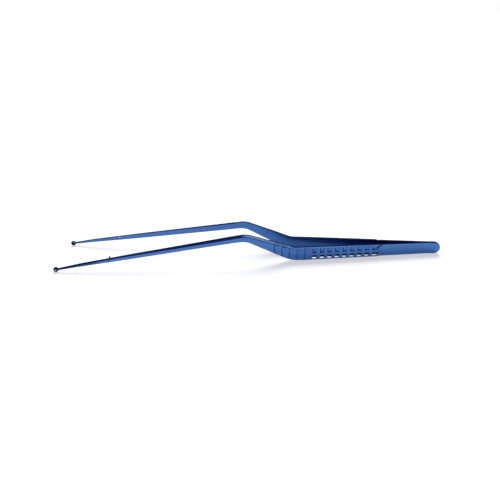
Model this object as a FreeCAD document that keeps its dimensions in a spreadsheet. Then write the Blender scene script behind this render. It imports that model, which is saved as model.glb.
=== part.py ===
import FreeCAD, Part
import math
import os
import Sketcher

# Bayonet spring forceps for holding tumour tissue, in millimetres.
# Two leaf-spring arms are welded face to face at the butt and spread towards two holed cups.
# Sizes named ..._at run along an arm from its butt end, and heights are above the table.
# An arm is drawn straight along -X with its inner face on y = 0, and is then turned about the
# front edge of the weld. The left arm lies at -Y and carries the guide pin.

SIZES = [
    ("spread_angle", 4.07, "half angle between the open arms, in degrees"),
    ("weld_length", 8.0, "length of the welded flat at the butt"),
    ("leaf_thick", 1.2, "spring leaf thickness"),
    ("grip_thick", 1.5, "grip plate thickness"),
    ("crank_thick", 2.1, "thickness of the cranked neck"),
    ("butt_width", 7.18, "leaf width at the butt"),
    ("leaf_width", 7.75, "leaf width where the grip starts"),
    ("leaf_lift", 0.12, "height of the leaf's lower edge"),
    ("butt_round", 3.5, "corner radius of the butt end"),
    ("grip_at", 38.6, "rear end of the grip"),
    ("grip_step", 0.5, "length of the ramp from leaf to grip"),
    ("grip_width", 8.05, "grip width at its rear end"),
    ("heel_width", 8.85, "grip width at the heel"),
    ("heel_top_at", 91.0, "inner corner of the heel on the upper edge"),
    ("heel_top_round", 6.0, "radius of the heel's upper corner"),
    ("heel_low_at", 91.9, "outer corner of the heel on the lower edge"),
    ("heel_low_round", 22.0, "radius of the heel's lower corner"),
    ("flare_at", 88.0, "where the grip plate starts to thicken"),
    ("flare_end_at", 102.0, "where the neck is at its full thickness"),
    ("bend_at", 119.5, "corner of the crank into the shaft"),
    ("bend_top", 18.88, "height of the crank's upper corner"),
    ("bend_low", 14.6, "height of the crank's lower corner"),
    ("bend_top_round", 16.0, "radius of the crank's upper corner"),
    ("bend_low_round", 9.5, "radius of the crank's lower corner"),
    ("shaft_at", 126.0, "start of the tapered shaft"),
    ("shaft_height", 15.85, "centre height of the shaft at its start"),
    ("shaft_depth", 4.5, "shaft depth at its start"),
    ("edge_round", 0.4, "rounding of the neck's outer edges"),
    ("round_run", 6.0, "length over which the shaft turns half-round"),
    ("round_share", 0.9, "part of the shaft's half depth that its outer rounding takes up"),
    ("taper_at", 190.0, "where the quicker taper starts"),
    ("taper_height", 7.1, "centre height where the quicker taper starts"),
    ("taper_depth", 3.1, "shaft depth where the quicker taper starts"),
    ("taper_thick", 1.1, "shaft thickness where the quicker taper starts"),
    ("slim_at", 215.0, "start of the slim neck behind the cup"),
    ("slim_height", 3.68, "centre height of the slim neck at its start"),
    ("slim_depth", 2.1, "depth of the slim neck at its start"),
    ("slim_thick", 0.95, "thickness of the slim neck at its start"),
    ("tip_depth", 1.25, "depth of the slim neck at the cup"),
    ("tip_thick", 0.9, "thickness of the slim neck at the cup"),
    ("arm_length", 228.7, "length of an arm from the butt to the cup's centre"),
    ("cup_radius", 1.5, "outer radius of the cup"),
    ("cup_deep", 1.65, "cup depth from grip face to apex"),
    ("cup_rim", 0.38, "height of the cup's straight rim"),
    ("cup_proud", 0.25, "step of the grip face inside the arm's inner face"),
    ("bore_radius", 0.45, "radius of the hole through the apex"),
    ("bore_length", 0.75, "length of that hole before it widens"),
    ("mouth_radius", 0.9, "radius of the hole at the grip face"),
    ("cell_count", 8, "number of regular grip cells"),
    ("cell_pitch", 4.6, "distance between grip cells"),
    ("cell_first_at", 46.0, "centre of the rear regular cell"),
    ("window_width", 2.7, "width of a grip window"),
    ("window_low", 0.8, "height of the windows' lower edge on the outer face"),
    ("window_tall", 2.15, "height of a grip window on the outer face"),
    ("window_inner_low", 0.15, "height of the windows' lower edge on the inner face"),
    ("window_inner", 1.1, "height of a grip window on the inner face"),
    ("pit_width", 3.0, "width of a grip pit"),
    ("pit_low", 4.2, "height of the pits' lower edge"),
    ("pit_tall", 3.35, "height of a grip pit"),
    ("pit_deep", 0.6, "depth of a grip pit"),
    ("pit_draft", 35.0, "draft of the pit walls, in degrees"),
    ("long_cell_at", 41.0, "centre of the long rear cell"),
    ("long_cell_width", 3.9, "width of the long rear cell"),
    ("notch_at", 40.4, "lower end of the slanted notch in the grip's rear corner"),
    ("notch_low", 6.2, "height of the notch's lower end"),
    ("notch_slant", 2.2, "run and rise of the notch"),
    ("notch_width", 0.5, "width of the notch"),
    ("notch_deep", 0.5, "depth of the notch"),
    ("tooth_count", 5, "number of thumb teeth at the heel"),
    ("tooth_pitch", 4.65, "distance between thumb teeth"),
    ("tooth_first_at", 83.8, "front edge of the rear tooth"),
    ("tooth_run", 4.0, "length of a tooth's ramp"),
    ("tooth_flank", 0.5, "length of a tooth's steep front flank"),
    ("tooth_deep", 0.45, "depth of a tooth"),
    ("tooth_margin", 0.9, "plain strip above the teeth"),
    ("pin_at", 198.5, "guide pin and guide hole"),
    ("pin_radius", 0.42, "guide pin radius"),
    ("pin_reach", 4.0, "pin length inside the arm's inner face"),
    ("pin_tip", 0.15, "chamfer at the pin's free end"),
    ("pin_grip", 0.005, "radial interference of the pressed pin"),
    ("guide_play", 0.12, "radial clearance of the guide hole"),
]

# Working room of the cutting outlines beyond the solid.
CLEAR = "5"
ABOVE = "dim.bend_top + 2 * " + CLEAR
# How far an edge's end may lie from the drawn place it is looked up by.
TOUCH = 0.05

doc = FreeCAD.newDocument("bayonet_forceps")
sheet = doc.addObject("Spreadsheet::Sheet", "dim")
size = {}
for row, (alias, value, meaning) in enumerate(SIZES, start=1):
    sheet.set("A%d" % row, meaning)
    sheet.set("B%d" % row, str(value))
    sheet.setAlias("B%d" % row, alias)
    size[alias] = value
doc.recompute()


def between(place, place_a, value_a, place_b, value_b):
    """Formula of a value that runs straight from value_a at place_a to value_b at place_b."""
    slope = "(%s - %s) / (%s - %s)" % (value_b, value_a, place_b, place_a)
    return "(%s + (%s - %s) * %s)" % (value_a, place, place_a, slope)


def plane(body, role):
    """The body's own origin plane with this role."""
    return next(item for item in body.Origin.OriginFeatures if item.Role == role)


def new_sketch(body, name, role, offset=("0", "0", "0")):
    """A sketch on an origin plane, moved by an offset in the plane's own axes."""
    sketch = body.newObject("Sketcher::SketchObject", name)
    sketch.AttachmentSupport = (plane(body, role), [""])
    sketch.MapMode = "FlatFace"
    for axis, formula in zip("xyz", offset):
        if formula != "0":
            sketch.setExpression("AttachmentOffset.Base." + axis, formula)
    return sketch


def hold_along(sketch, line, end, kind, value, formula):
    """Hold one end of a line at a distance from the origin, drawn at value and set by formula."""
    number = sketch.addConstraint(Sketcher.Constraint(kind, -1, 1, line, end, value))
    sketch.setExpression("Constraints[%d]" % number, formula)


def hold(sketch, line, end, drawn, corner):
    """Hold one end of a line, drawn at a starting point, at the place given by two formulas."""
    if corner[0] == "0":
        sketch.addConstraint(Sketcher.Constraint("PointOnObject", line, end, -2))
    else:
        hold_along(sketch, line, end, "DistanceX", drawn.x, corner[0])
    if corner[1] == "0":
        sketch.addConstraint(Sketcher.Constraint("PointOnObject", line, end, -1))
    else:
        hold_along(sketch, line, end, "DistanceY", drawn.y, corner[1])


def polygon(body, name, role, corners, offset=("0", "0", "0")):
    """A closed outline of straight lines whose corners are pairs of formulas."""
    sketch = new_sketch(body, name, role, offset)
    count = len(corners)
    turn = 2 * math.pi / count
    ring = [FreeCAD.Vector(math.cos(i * turn), math.sin(i * turn), 0) for i in range(count)]
    for i in range(count):
        sketch.addGeometry(Part.LineSegment(ring[i], ring[(i + 1) % count]), False)
    for i in range(count):
        sketch.addConstraint(Sketcher.Constraint("Coincident", i, 2, (i + 1) % count, 1))
    for i in range(count):
        hold(sketch, i, 1, ring[i], corners[i])
    return sketch


def cut_through(body, name, sketch):
    """A pocket that runs right through the body on both sides of its sketch."""
    pocket = body.newObject("PartDesign::Pocket", name)
    pocket.Profile = sketch
    pocket.Type = "ThroughAll"
    pocket.Midplane = True
    return pocket


def cut_blind(body, name, sketch, depth):
    """A pocket of a stated depth against its sketch's normal."""
    pocket = body.newObject("PartDesign::Pocket", name)
    pocket.Profile = sketch
    pocket.Type = "Length"
    pocket.setExpression("Length", depth)
    return pocket


def round_corner(body, name, base, at, height, radius):
    """Round the corners of the side outline that stand at one place, right across the arm."""
    doc.recompute()
    edges = []
    for i, edge in enumerate(base.Shape.Edges, start=1):
        ends = [vertex.Point for vertex in edge.Vertexes]
        if all(math.hypot(p.x + at, p.z - height) < TOUCH for p in ends):
            edges.append("Edge%d" % i)
    fillet = body.newObject("PartDesign::Fillet", name)
    fillet.Base = (base, edges)
    fillet.setExpression("Radius", radius)
    return fillet


def top_at(place):
    """Formula of the upper outline's height at a place on the grip or the crank."""
    grip = between(place, "dim.grip_at", "dim.grip_width", "dim.heel_top_at", "dim.heel_width")
    riser = between(place, "dim.heel_top_at", "dim.heel_width", "dim.bend_at", "dim.bend_top")
    return "max(%s; %s)" % (grip, riser)


def thickness_at(place):
    """Formula of the arm's thickness at a place on the grip or the crank."""
    flare = between(place, "dim.flare_at", "dim.grip_thick", "dim.flare_end_at", "dim.crank_thick")
    return "min(max(%s; dim.grip_thick); dim.crank_thick)" % flare


def arm_blank(body):
    """Plan outline of weld, leaf, grip and crank, raised and cut to the bayonet outline."""
    weld = "dim.weld_length"
    turn = "dim.spread_angle"
    plan = [
        ("-" + weld, "0"),
        ("-%s + %s * cos(%s)" % (weld, weld, turn), "-%s * sin(%s)" % (weld, turn)),
        ("-%s + %s * cos(%s) - dim.leaf_thick * sin(%s)" % (weld, weld, turn, turn),
         "-%s * sin(%s) - dim.leaf_thick * cos(%s)" % (weld, turn, turn)),
        ("-%s - dim.leaf_thick * tan(%s / 2)" % (weld, turn), "-dim.leaf_thick"),
        ("-dim.grip_at", "-dim.leaf_thick"),
        ("-dim.grip_at - dim.grip_step", "-dim.grip_thick"),
        ("-dim.flare_at", "-dim.grip_thick"),
        ("-dim.flare_end_at", "-dim.crank_thick"),
        ("-dim.shaft_at", "-dim.crank_thick"),
        ("-dim.shaft_at", "0"),
    ]
    pad = body.newObject("PartDesign::Pad", "plan_pad")
    pad.Profile = polygon(body, "plan", "XY_Plane", plan)
    pad.setExpression("Length", "dim.bend_top + " + CLEAR)

    over = [
        (CLEAR, "dim.leaf_lift + dim.butt_width"),
        ("0", "dim.leaf_lift + dim.butt_width"),
        ("-dim.grip_at", "dim.leaf_lift + dim.leaf_width"),
        ("-dim.grip_at - dim.grip_step", "dim.grip_width"),
        ("-dim.heel_top_at", "dim.heel_width"),
        ("-dim.bend_at", "dim.bend_top"),
        ("-dim.shaft_at", "dim.shaft_height + dim.shaft_depth / 2"),
        ("-dim.shaft_at - " + CLEAR, "dim.shaft_height + dim.shaft_depth / 2"),
        ("-dim.shaft_at - " + CLEAR, ABOVE),
        (CLEAR, ABOVE),
    ]
    cut_through(body, "upper_outline", polygon(body, "over", "XZ_Plane", over))

    under = [
        (CLEAR, "dim.leaf_lift"),
        ("-dim.grip_at", "dim.leaf_lift"),
        ("-dim.grip_at - dim.grip_step", "0"),
        ("-dim.heel_low_at", "0"),
        ("-dim.bend_at", "dim.bend_low"),
        ("-dim.shaft_at", "dim.shaft_height - dim.shaft_depth / 2"),
        ("-dim.shaft_at - " + CLEAR, "dim.shaft_height - dim.shaft_depth / 2"),
        ("-dim.shaft_at - " + CLEAR, "-" + CLEAR),
        (CLEAR, "-" + CLEAR),
    ]
    cut = cut_through(body, "lower_outline", polygon(body, "under", "XZ_Plane", under))

    corners = [
        ("heel_top", size["heel_top_at"], size["heel_width"], "heel_top_round"),
        ("heel_low", size["heel_low_at"], 0.0, "heel_low_round"),
        ("bend_top", size["bend_at"], size["bend_top"], "bend_top_round"),
        ("bend_low", size["bend_at"], size["bend_low"], "bend_low_round"),
    ]
    last = cut
    for name, at, height, radius in corners:
        last = round_corner(body, name, last, at, height, "dim." + radius)
    return round_butt(body, last)


def round_butt(body, base):
    """Round the two corners of the butt end."""
    doc.recompute()
    edges = []
    for i, edge in enumerate(base.Shape.Edges, start=1):
        ends = [vertex.Point for vertex in edge.Vertexes]
        level = abs(ends[0].z - ends[-1].z) < TOUCH
        if level and all(p.x > -size["leaf_thick"] / 2 for p in ends):
            edges.append("Edge%d" % i)
    fillet = body.newObject("PartDesign::Fillet", "butt_end")
    fillet.Base = (base, edges)
    fillet.setExpression("Radius", "dim.butt_round")
    return fillet


def half_round(body, name, at, height, depth, thick, corner):
    """A shaft section: flat inner side, rounded outer side, drawn across the arm at one place."""
    sketch = new_sketch(body, name, "YZ_Plane", ("0", height, "-(%s)" % at))
    low, high = "-(%s) / 2" % depth, "(%s) / 2" % depth
    side, turn = "-(%s)" % thick, "-(%s) + %s" % (thick, corner)
    corners = [
        ("0", low),
        ("0", high),
        (turn, high),
        (side, "%s - %s" % (high, corner)),
        (side, "%s + %s" % (low, corner)),
        (turn, low),
    ]
    rough = [(0, -2), (0, 2), (-1, 2), (-2, 1), (-2, -1), (-1, -2)]
    points = [FreeCAD.Vector(y, z, 0) for y, z in rough]
    quarter = math.pi / 2
    for i, start in enumerate(points):
        if i in (2, 4):
            centre = FreeCAD.Vector(-1, 3 - i, 0)
            circle = Part.Circle(centre, FreeCAD.Vector(0, 0, 1), 1.0)
            sketch.addGeometry(Part.ArcOfCircle(circle, i / 2 * quarter, (i / 2 + 1) * quarter))
        else:
            sketch.addGeometry(Part.LineSegment(start, points[(i + 1) % 6]), False)
    for i in range(6):
        sketch.addConstraint(Sketcher.Constraint("Coincident", i, 2, (i + 1) % 6, 1))
    for i in range(6):
        hold(sketch, i, 1, points[i], corners[i])
    for arc in (2, 4):
        hold_along(sketch, arc, 3, "DistanceX", -1.0, turn)
    return sketch


def shaft(body):
    """The tapered shaft: lofts through half-round sections from the crank to the cup."""
    run = "(dim.shaft_at + dim.round_run)"
    tip = "(dim.arm_length - dim.cup_radius / 2)"
    height, depth, thick = [
        between(run, "dim.shaft_at", first, "dim.taper_at", "dim.taper_" + word)
        for first, word in (("dim.shaft_height", "height"), ("dim.shaft_depth", "depth"),
                            ("dim.crank_thick", "thick"))]
    tip_height = between(tip, "dim.slim_at", "dim.slim_height", "dim.arm_length", "dim.cup_radius")
    stations = [
        ("round", run, height, depth, thick),
        ("taper", "dim.taper_at", "dim.taper_height", "dim.taper_depth", "dim.taper_thick"),
        ("slim", "dim.slim_at", "dim.slim_height", "dim.slim_depth", "dim.slim_thick"),
        ("tip", tip, tip_height, "dim.tip_depth", "dim.tip_thick"),
    ]
    sections = [half_round(body, "section_root", "dim.shaft_at", "dim.shaft_height",
                           "dim.shaft_depth", "dim.crank_thick", "dim.edge_round")]
    for name, at, height, depth, thick in stations:
        corner = "dim.round_share * min(%s; (%s) / 2)" % (thick, depth)
        sections.append(half_round(body, "section_" + name, at, height, depth, thick, corner))
    loft = body.newObject("PartDesign::AdditiveLoft", "shaft")
    loft.Profile = sections[0]
    loft.Sections = sections[1:]
    loft.Ruled = True
    return loft


def cup(body):
    """The cup: a rim with a cut-off dome outside, and a hole that widens to the grip face."""
    offset = ("-dim.arm_length", "0", "dim.cup_radius")
    rim = "dim.cup_proud - dim.cup_rim"
    apex = "dim.cup_proud - dim.cup_deep"
    outline = new_sketch(body, "cup_outline", "XY_Plane", offset)
    top, edge, root = FreeCAD.Vector(0, 1, 0), FreeCAD.Vector(2, 1, 0), FreeCAD.Vector(2, 0, 0)
    foot, low = FreeCAD.Vector(1, -math.sqrt(3), 0), FreeCAD.Vector(0, -math.sqrt(3), 0)
    circle = Part.Circle(FreeCAD.Vector(0, 0, 0), FreeCAD.Vector(0, 0, 1), 2.0)
    outline.addGeometry(Part.LineSegment(top, edge), False)
    outline.addGeometry(Part.LineSegment(edge, root), False)
    outline.addGeometry(Part.ArcOfCircle(circle, -math.pi / 3, 0), False)
    outline.addGeometry(Part.LineSegment(foot, low), False)
    outline.addGeometry(Part.LineSegment(low, top), False)
    for line_a, end_a, line_b, end_b in ((0, 2, 1, 1), (1, 2, 2, 2), (2, 1, 3, 1), (3, 2, 4, 1),
                                         (4, 2, 0, 1)):
        outline.addConstraint(Sketcher.Constraint("Coincident", line_a, end_a, line_b, end_b))
    hold(outline, 0, 1, top, ("0", "dim.cup_proud"))
    hold(outline, 1, 1, edge, ("dim.cup_radius", "dim.cup_proud"))
    hold(outline, 1, 2, root, ("dim.cup_radius", rim))
    hold(outline, 4, 1, low, ("0", apex))
    outline.addConstraint(Sketcher.Constraint("Horizontal", 3))
    outline.addConstraint(Sketcher.Constraint("PointOnObject", 2, 3, -2))
    hold_along(outline, 2, 3, "DistanceY", 0.0, rim)
    solid = body.newObject("PartDesign::Revolution", "cup")
    solid.Profile = outline
    solid.ReferenceAxis = (outline, ["V_Axis"])
    solid.Angle = 360
    hole = [
        ("0", "dim.cup_proud + " + CLEAR),
        ("dim.mouth_radius", "dim.cup_proud + " + CLEAR),
        ("dim.mouth_radius", "dim.cup_proud"),
        ("dim.bore_radius", apex + " + dim.bore_length"),
        ("dim.bore_radius", apex + " - " + CLEAR),
        ("0", apex + " - " + CLEAR),
    ]
    bore = polygon(body, "cup_bore", "XY_Plane", hole, offset)
    groove = body.newObject("PartDesign::Groove", "cup_hole")
    groove.Profile = bore
    groove.ReferenceAxis = (bore, ["V_Axis"])
    groove.Angle = 360
    return groove


def rectangle(body, name, centre, wide, low, tall, out):
    """An upright rectangle on a plane parallel to the arm's face, out from the inner face."""
    left, right = "-%s - %s / 2" % (centre, wide), "-%s + %s / 2" % (centre, wide)
    corners = [(left, low), (right, low), (right, "%s + %s" % (low, tall)),
               (left, "%s + %s" % (low, tall))]
    return polygon(body, name, "XZ_Plane", corners, ("0", "0", out))


def window(body, name, centre, wide):
    """A through window whose sill and top both slant down to the inner face, the top more."""
    low, tall = "dim.window_inner_low", "dim.window_inner"
    sill = "(dim.window_low - %s) / dim.grip_thick" % low
    top = "(dim.window_low + dim.window_tall - %s - %s) / dim.grip_thick" % (low, tall)
    meet = "%s / (%s - %s)" % (tall, top, sill)
    beyond = "2 * dim.grip_thick"
    section = [
        (meet, "%s - %s * %s" % (low, meet, sill)),
        ("-" + beyond, "%s + %s + %s * %s" % (low, tall, beyond, top)),
        ("-" + beyond, "%s + %s * %s" % (low, beyond, sill)),
    ]
    outline = polygon(body, name + "_section", "YZ_Plane", section, ("0", "0", "-" + centre))
    pocket = body.newObject("PartDesign::Pocket", name)
    pocket.Profile = outline
    pocket.Type = "Length"
    pocket.Midplane = True
    pocket.setExpression("Length", wide)
    return pocket


def grip_cells(body):
    """A row of through windows along the lower edge and a row of blind pits above it."""
    pit = rectangle(body, "pit_outline", "dim.cell_first_at", "dim.pit_width",
                    "dim.pit_low", "dim.pit_tall", "dim.grip_thick")
    cuts = [window(body, "window", "dim.cell_first_at", "dim.window_width"),
            cut_blind(body, "pit", pit, "dim.pit_deep")]
    cuts[1].setExpression("TaperAngle", "-dim.pit_draft")
    row = body.newObject("PartDesign::LinearPattern", "cell_row")
    row.Originals = cuts
    row.Direction = (pit, ["H_Axis"])
    row.Reversed = True
    row.setExpression("Length", "dim.cell_pitch * (dim.cell_count - 1)")
    row.setExpression("Occurrences", "dim.cell_count")
    body.Tip = row
    window(body, "long_window", "dim.long_cell_at", "dim.long_cell_width")
    long_pit = rectangle(body, "long_pit_outline", "dim.long_cell_at", "dim.long_cell_width",
                         "dim.pit_low", "dim.pit_tall", "dim.grip_thick")
    last = cut_blind(body, "long_pit", long_pit, "dim.pit_deep")
    last.setExpression("TaperAngle", "-dim.pit_draft")
    return last


def corner_notch(body):
    """A slanted notch that runs out through the upper edge at the grip's rear corner."""
    slant, wide = "dim.notch_slant", "dim.notch_width"
    corners = [
        ("-dim.notch_at", "dim.notch_low"),
        ("-dim.notch_at + " + wide, "dim.notch_low"),
        ("-dim.notch_at + %s + %s" % (wide, slant), "dim.notch_low + " + slant),
        ("-dim.notch_at + " + slant, "dim.notch_low + " + slant),
    ]
    outline = polygon(body, "notch_outline", "XZ_Plane", corners, ("0", "0", "dim.grip_thick"))
    return cut_blind(body, "corner_notch", outline, "dim.notch_deep")


def thumb_teeth(body):
    """Ramps cut into the outer face round the heel, each with a steep front flank."""
    last = None
    for i in range(size["tooth_count"]):
        front = "(dim.tooth_first_at + dim.tooth_pitch * %d)" % i
        rear = "(%s - dim.tooth_run)" % front
        ramp = [
            ("-" + front, "-%s - %s" % (thickness_at(front), CLEAR)),
            ("-" + front, "-" + thickness_at(front)),
            ("-%s + dim.tooth_flank" % front, "-%s + dim.tooth_deep" % thickness_at(front)),
            ("-" + rear, "-" + thickness_at(rear)),
            ("-" + rear, "-%s - %s" % (thickness_at(front), CLEAR)),
        ]
        top = "(%s - dim.tooth_margin)" % top_at(rear)
        outline = polygon(body, "tooth_outline_%d" % i, "XY_Plane", ramp, ("0", "0", top))
        last = cut_blind(body, "tooth_%d" % i, outline, "%s + %s" % (top, CLEAR))
    return last


def arm_body():
    """One arm without its pin or guide hole."""
    body = doc.addObject("PartDesign::Body", "arm_form")
    arm_blank(body)
    shaft(body)
    cup(body)
    grip_cells(body)
    corner_notch(body)
    last = thumb_teeth(body)
    body.Tip = last
    return body


def pin_height():
    """Formula of the shaft's centre height at the guide pin."""
    return between("dim.pin_at", "dim.taper_at", "dim.taper_height", "dim.slim_at",
                   "dim.slim_height")


def pin_seat():
    """Formula of the shaft's thickness at the guide pin."""
    return between("dim.pin_at", "dim.taper_at", "dim.taper_thick", "dim.slim_at",
                   "dim.slim_thick")


def cross_hole(name, radius):
    """A round cutter that runs across an arm at the guide pin."""
    drill = doc.addObject("Part::Cylinder", name)
    drill.setExpression("Radius", radius)
    drill.setExpression("Height", "2 * " + CLEAR)
    drill.Placement.Rotation = FreeCAD.Rotation(FreeCAD.Vector(1, 0, 0), -90)
    drill.setExpression("Placement.Base.x", "-dim.pin_at")
    drill.setExpression("Placement.Base.y", "-" + CLEAR)
    drill.setExpression("Placement.Base.z", pin_height())
    return drill


def drilled(label, form, drill):
    """An arm with its cross hole."""
    arm = doc.addObject("Part::Cut", label)
    arm.Base = form
    arm.Tool = drill
    arm.Label = label
    return arm


def guide_pin():
    """The pin: flush with the arm's outer side, pressed through it, with a chamfered free end."""
    body = doc.addObject("PartDesign::Body", "guide_pin")
    body.Label = "guide_pin"
    half = [
        ("0", "-" + pin_seat()),
        ("dim.pin_radius", "-" + pin_seat()),
        ("dim.pin_radius", "dim.pin_reach - dim.pin_tip"),
        ("dim.pin_radius - dim.pin_tip", "dim.pin_reach"),
        ("0", "dim.pin_reach"),
    ]
    offset = ("-dim.pin_at", "0", pin_height())
    outline = polygon(body, "pin_outline", "XY_Plane", half, offset)
    solid = body.newObject("PartDesign::Revolution", "pin")
    solid.Profile = outline
    solid.ReferenceAxis = (outline, ["V_Axis"])
    solid.Angle = 360
    return body


def open_out(part, side):
    """Turn a part about the weld's front edge to its open place, side -1 left or 1 right."""
    part.Placement.Rotation = FreeCAD.Rotation(FreeCAD.Vector(0, 0, 1), 1)
    part.setExpression("Placement.Rotation.Angle", "%d * dim.spread_angle" % -side)
    reach = "(dim.arm_length + dim.cup_radius - dim.weld_length) * cos(dim.spread_angle)"
    middle = "(dim.weld_length + %s + dim.cup_proud * sin(dim.spread_angle)) / 2" % reach
    swing = "dim.weld_length * (1 - cos(dim.spread_angle))"
    part.setExpression("Placement.Base.x", "%s - %s" % (middle, swing))
    part.setExpression("Placement.Base.y",
                       "%d * dim.weld_length * sin(dim.spread_angle)" % -side)


form = arm_body()
mirrored = doc.addObject("Part::Mirroring", "mirrored_form")
mirrored.Source = form
mirrored.Normal = (0, 1, 0)
left_arm = drilled("left_arm", form, cross_hole("pin_hole", "dim.pin_radius - dim.pin_grip"))
right_arm = drilled("right_arm", mirrored,
                    cross_hole("guide_hole", "dim.pin_radius + dim.guide_play"))
pin = guide_pin()
PARTS = [(left_arm, -1), (right_arm, 1), (pin, -1)]
for part, side in PARTS:
    open_out(part, side)
doc.recompute()

for item in doc.Objects:
    failed = [word for word in item.State if word in ("Invalid", "Error")]
    if failed:
        raise RuntimeError("%s did not build: %s" % (item.Name, item.State))
for part, side in PARTS:
    if part.Shape.isNull() or not part.Shape.isValid() or len(part.Shape.Solids) != 1:
        raise RuntimeError("%s is not one sound solid" % part.Label)

os.makedirs("parts", exist_ok=True)
for part, side in PARTS:
    part.Shape.exportStep("parts/%s.step" % part.Label)
    box = part.Shape.BoundBox
    centre = part.Shape.Solids[0].CenterOfMass
    print(part.Label, "volume %.2f" % part.Shape.Volume, "centre", centre)
    print("  from", box.XMin, box.YMin, box.ZMin, "to", box.XMax, box.YMax, box.ZMax)
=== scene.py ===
import math

import bmesh
import bpy
import numpy as np
from mathutils import Euler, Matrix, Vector


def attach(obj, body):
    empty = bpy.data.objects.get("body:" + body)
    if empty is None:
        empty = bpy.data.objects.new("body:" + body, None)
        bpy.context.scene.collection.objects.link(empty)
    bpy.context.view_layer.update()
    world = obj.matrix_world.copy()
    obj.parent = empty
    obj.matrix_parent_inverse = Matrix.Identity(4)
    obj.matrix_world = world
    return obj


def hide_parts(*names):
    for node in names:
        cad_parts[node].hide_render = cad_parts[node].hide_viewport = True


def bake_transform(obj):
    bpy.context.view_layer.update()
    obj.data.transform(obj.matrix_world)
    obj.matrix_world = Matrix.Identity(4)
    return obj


bl_info = {
    "name": "Bayonet Tumour Grasping Forceps",
    "version": (1, 0, 0),
    "blender": (4, 5, 0),
    "location": "3D View > Sidebar > Forceps",
    "description": "Blue anodised bayonet spring forceps with holed cups, and the stage they stand on",
    "category": "Object",
}

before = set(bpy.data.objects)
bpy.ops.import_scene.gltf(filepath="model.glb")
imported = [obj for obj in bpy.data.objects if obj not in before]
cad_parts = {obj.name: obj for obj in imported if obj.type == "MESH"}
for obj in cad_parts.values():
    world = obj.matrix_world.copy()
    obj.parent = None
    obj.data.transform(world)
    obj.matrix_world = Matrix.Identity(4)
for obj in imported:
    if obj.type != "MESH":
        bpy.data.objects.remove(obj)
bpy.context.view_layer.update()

# Lengths are in millimetres until a mesh is written; places "at" run along an arm from its butt.
MM = 0.001
SPREAD = math.radians(4.07)
WELD = 8.0
# The arm turns into the spread angle over this run on either side of the weld's front edge.
WELD_TURN = 2.0
# Length and number of the points over which the arm's run is summed up.
TRACK_RUN, TRACK_POINTS = 240, 4801
CUP_AT = 228.7
CUP_RADIUS = 1.5
CUP_PROUD = 0.25
# How far out of the inner face the cup's rim, its dome and its straight hole end.
CUP_RIM, CUP_APEX, CUP_HOLE_END = 0.13, 1.4, 0.65
# Radii of the hole and of its mouth, and the size of the cup's broken corners.
CUP_HOLE, CUP_MOUTH, CUP_SOFT = 0.45, 0.9, 0.06
HALF_LENGTH = (WELD + (CUP_AT + CUP_RADIUS - WELD) * math.cos(SPREAD)
               + CUP_PROUD * math.sin(SPREAD)) / 2

# Where the leaf steps up to the grip, and where the shaft, its quicker taper, the slim neck and the
# cup begin. The sections end a little before the cup, inside its dome.
STEP_FROM, STEP_MID, STEP_TO = 38.6, 38.8, 39.1
SHAFT_AT, TAPER_AT, SLIM_AT, NECK_END = 126.0, 190.0, 215.0, 227.95
SECTIONS_END = 227.75
GRIP_THICK, CRANK_THICK = 1.5, 2.1

# Outline corners: at, height, rounding.
UPPER = ((0.0, 7.3, 0.0), (STEP_FROM, 7.87, 0.0), (STEP_TO, 8.05, 0.0), (91.0, 8.85, 6.0),
         (119.5, 18.88, 16.0), (SHAFT_AT, 18.1, 0.0), (TAPER_AT, 8.65, 0.0), (SLIM_AT, 4.73, 0.0),
         (NECK_END, 2.24, 0.0))
LOWER = ((0.0, 0.12, 0.0), (STEP_FROM, 0.12, 0.0), (STEP_TO, 0.0, 0.0), (91.9, 0.0, 22.0),
         (119.5, 14.6, 9.5), (SHAFT_AT, 13.6, 0.0), (TAPER_AT, 5.55, 0.0), (SLIM_AT, 2.63, 0.0),
         (NECK_END, 0.99, 0.0))
THICKNESS = ((0.0, 1.2), (STEP_FROM, 1.2), (STEP_TO, GRIP_THICK), (88.0, GRIP_THICK),
             (102.0, CRANK_THICK), (SHAFT_AT, CRANK_THICK), (TAPER_AT, 1.1), (SLIM_AT, 0.95),
             (NECK_END, 0.9))
BUTT_ROUND, BUTT_SECTIONS = 3.5, 13
# Rows of evenly spaced sections on the leaf, the crank's bends and the shaft: first, limit, step.
SECTION_RUNS = ((5, 38, 1.5), (104, 127, 0.75), (128, 227, 2.0))

# Grip cells: a row of blind pits over a row of windows, cut obliquely down to the inner face.
# Each cell has its centre along the arm and half the width of its window.
CELLS = tuple((46.0 + 4.6 * i, 1.35) for i in range(8)) + ((41.0, 1.8),)
PIT_SPARE = 0.15
PIT_FRONT, PIT_REAR = 0.7, 1.3
PIT_DEEP = 0.8
PIT_LOW, PIT_HIGH = 4.4, 7.55
PIT_SILL, PIT_LINTEL = 0.75, 0.35
WINDOW_LOW, WINDOW_HIGH = 0.8, 2.95
WINDOW_INNER_LOW, WINDOW_INNER_HIGH = 0.15, 0.78
NOTCH_AT, NOTCH_LOW, NOTCH_SLANT = 40.6, 5.3, 2.9
NOTCH_WIDTH, NOTCH_DEEP = 1.2, 0.7

# Thumb teeth round the heel. The profile is the distance behind a tooth's front, and the depth.
TEETH = tuple(84.75 + 4.55 * i for i in range(5))
TOOTH_RUN = 4.0
TOOTH_PROFILE = ((0.0, 0.4, 0.55, 0.9, TOOTH_RUN), (0.0, 0.6, 0.6, 0.36, 0.0))
TOOTH_MARGIN = 0.9
TOOTH_LINTEL = 0.55

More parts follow.
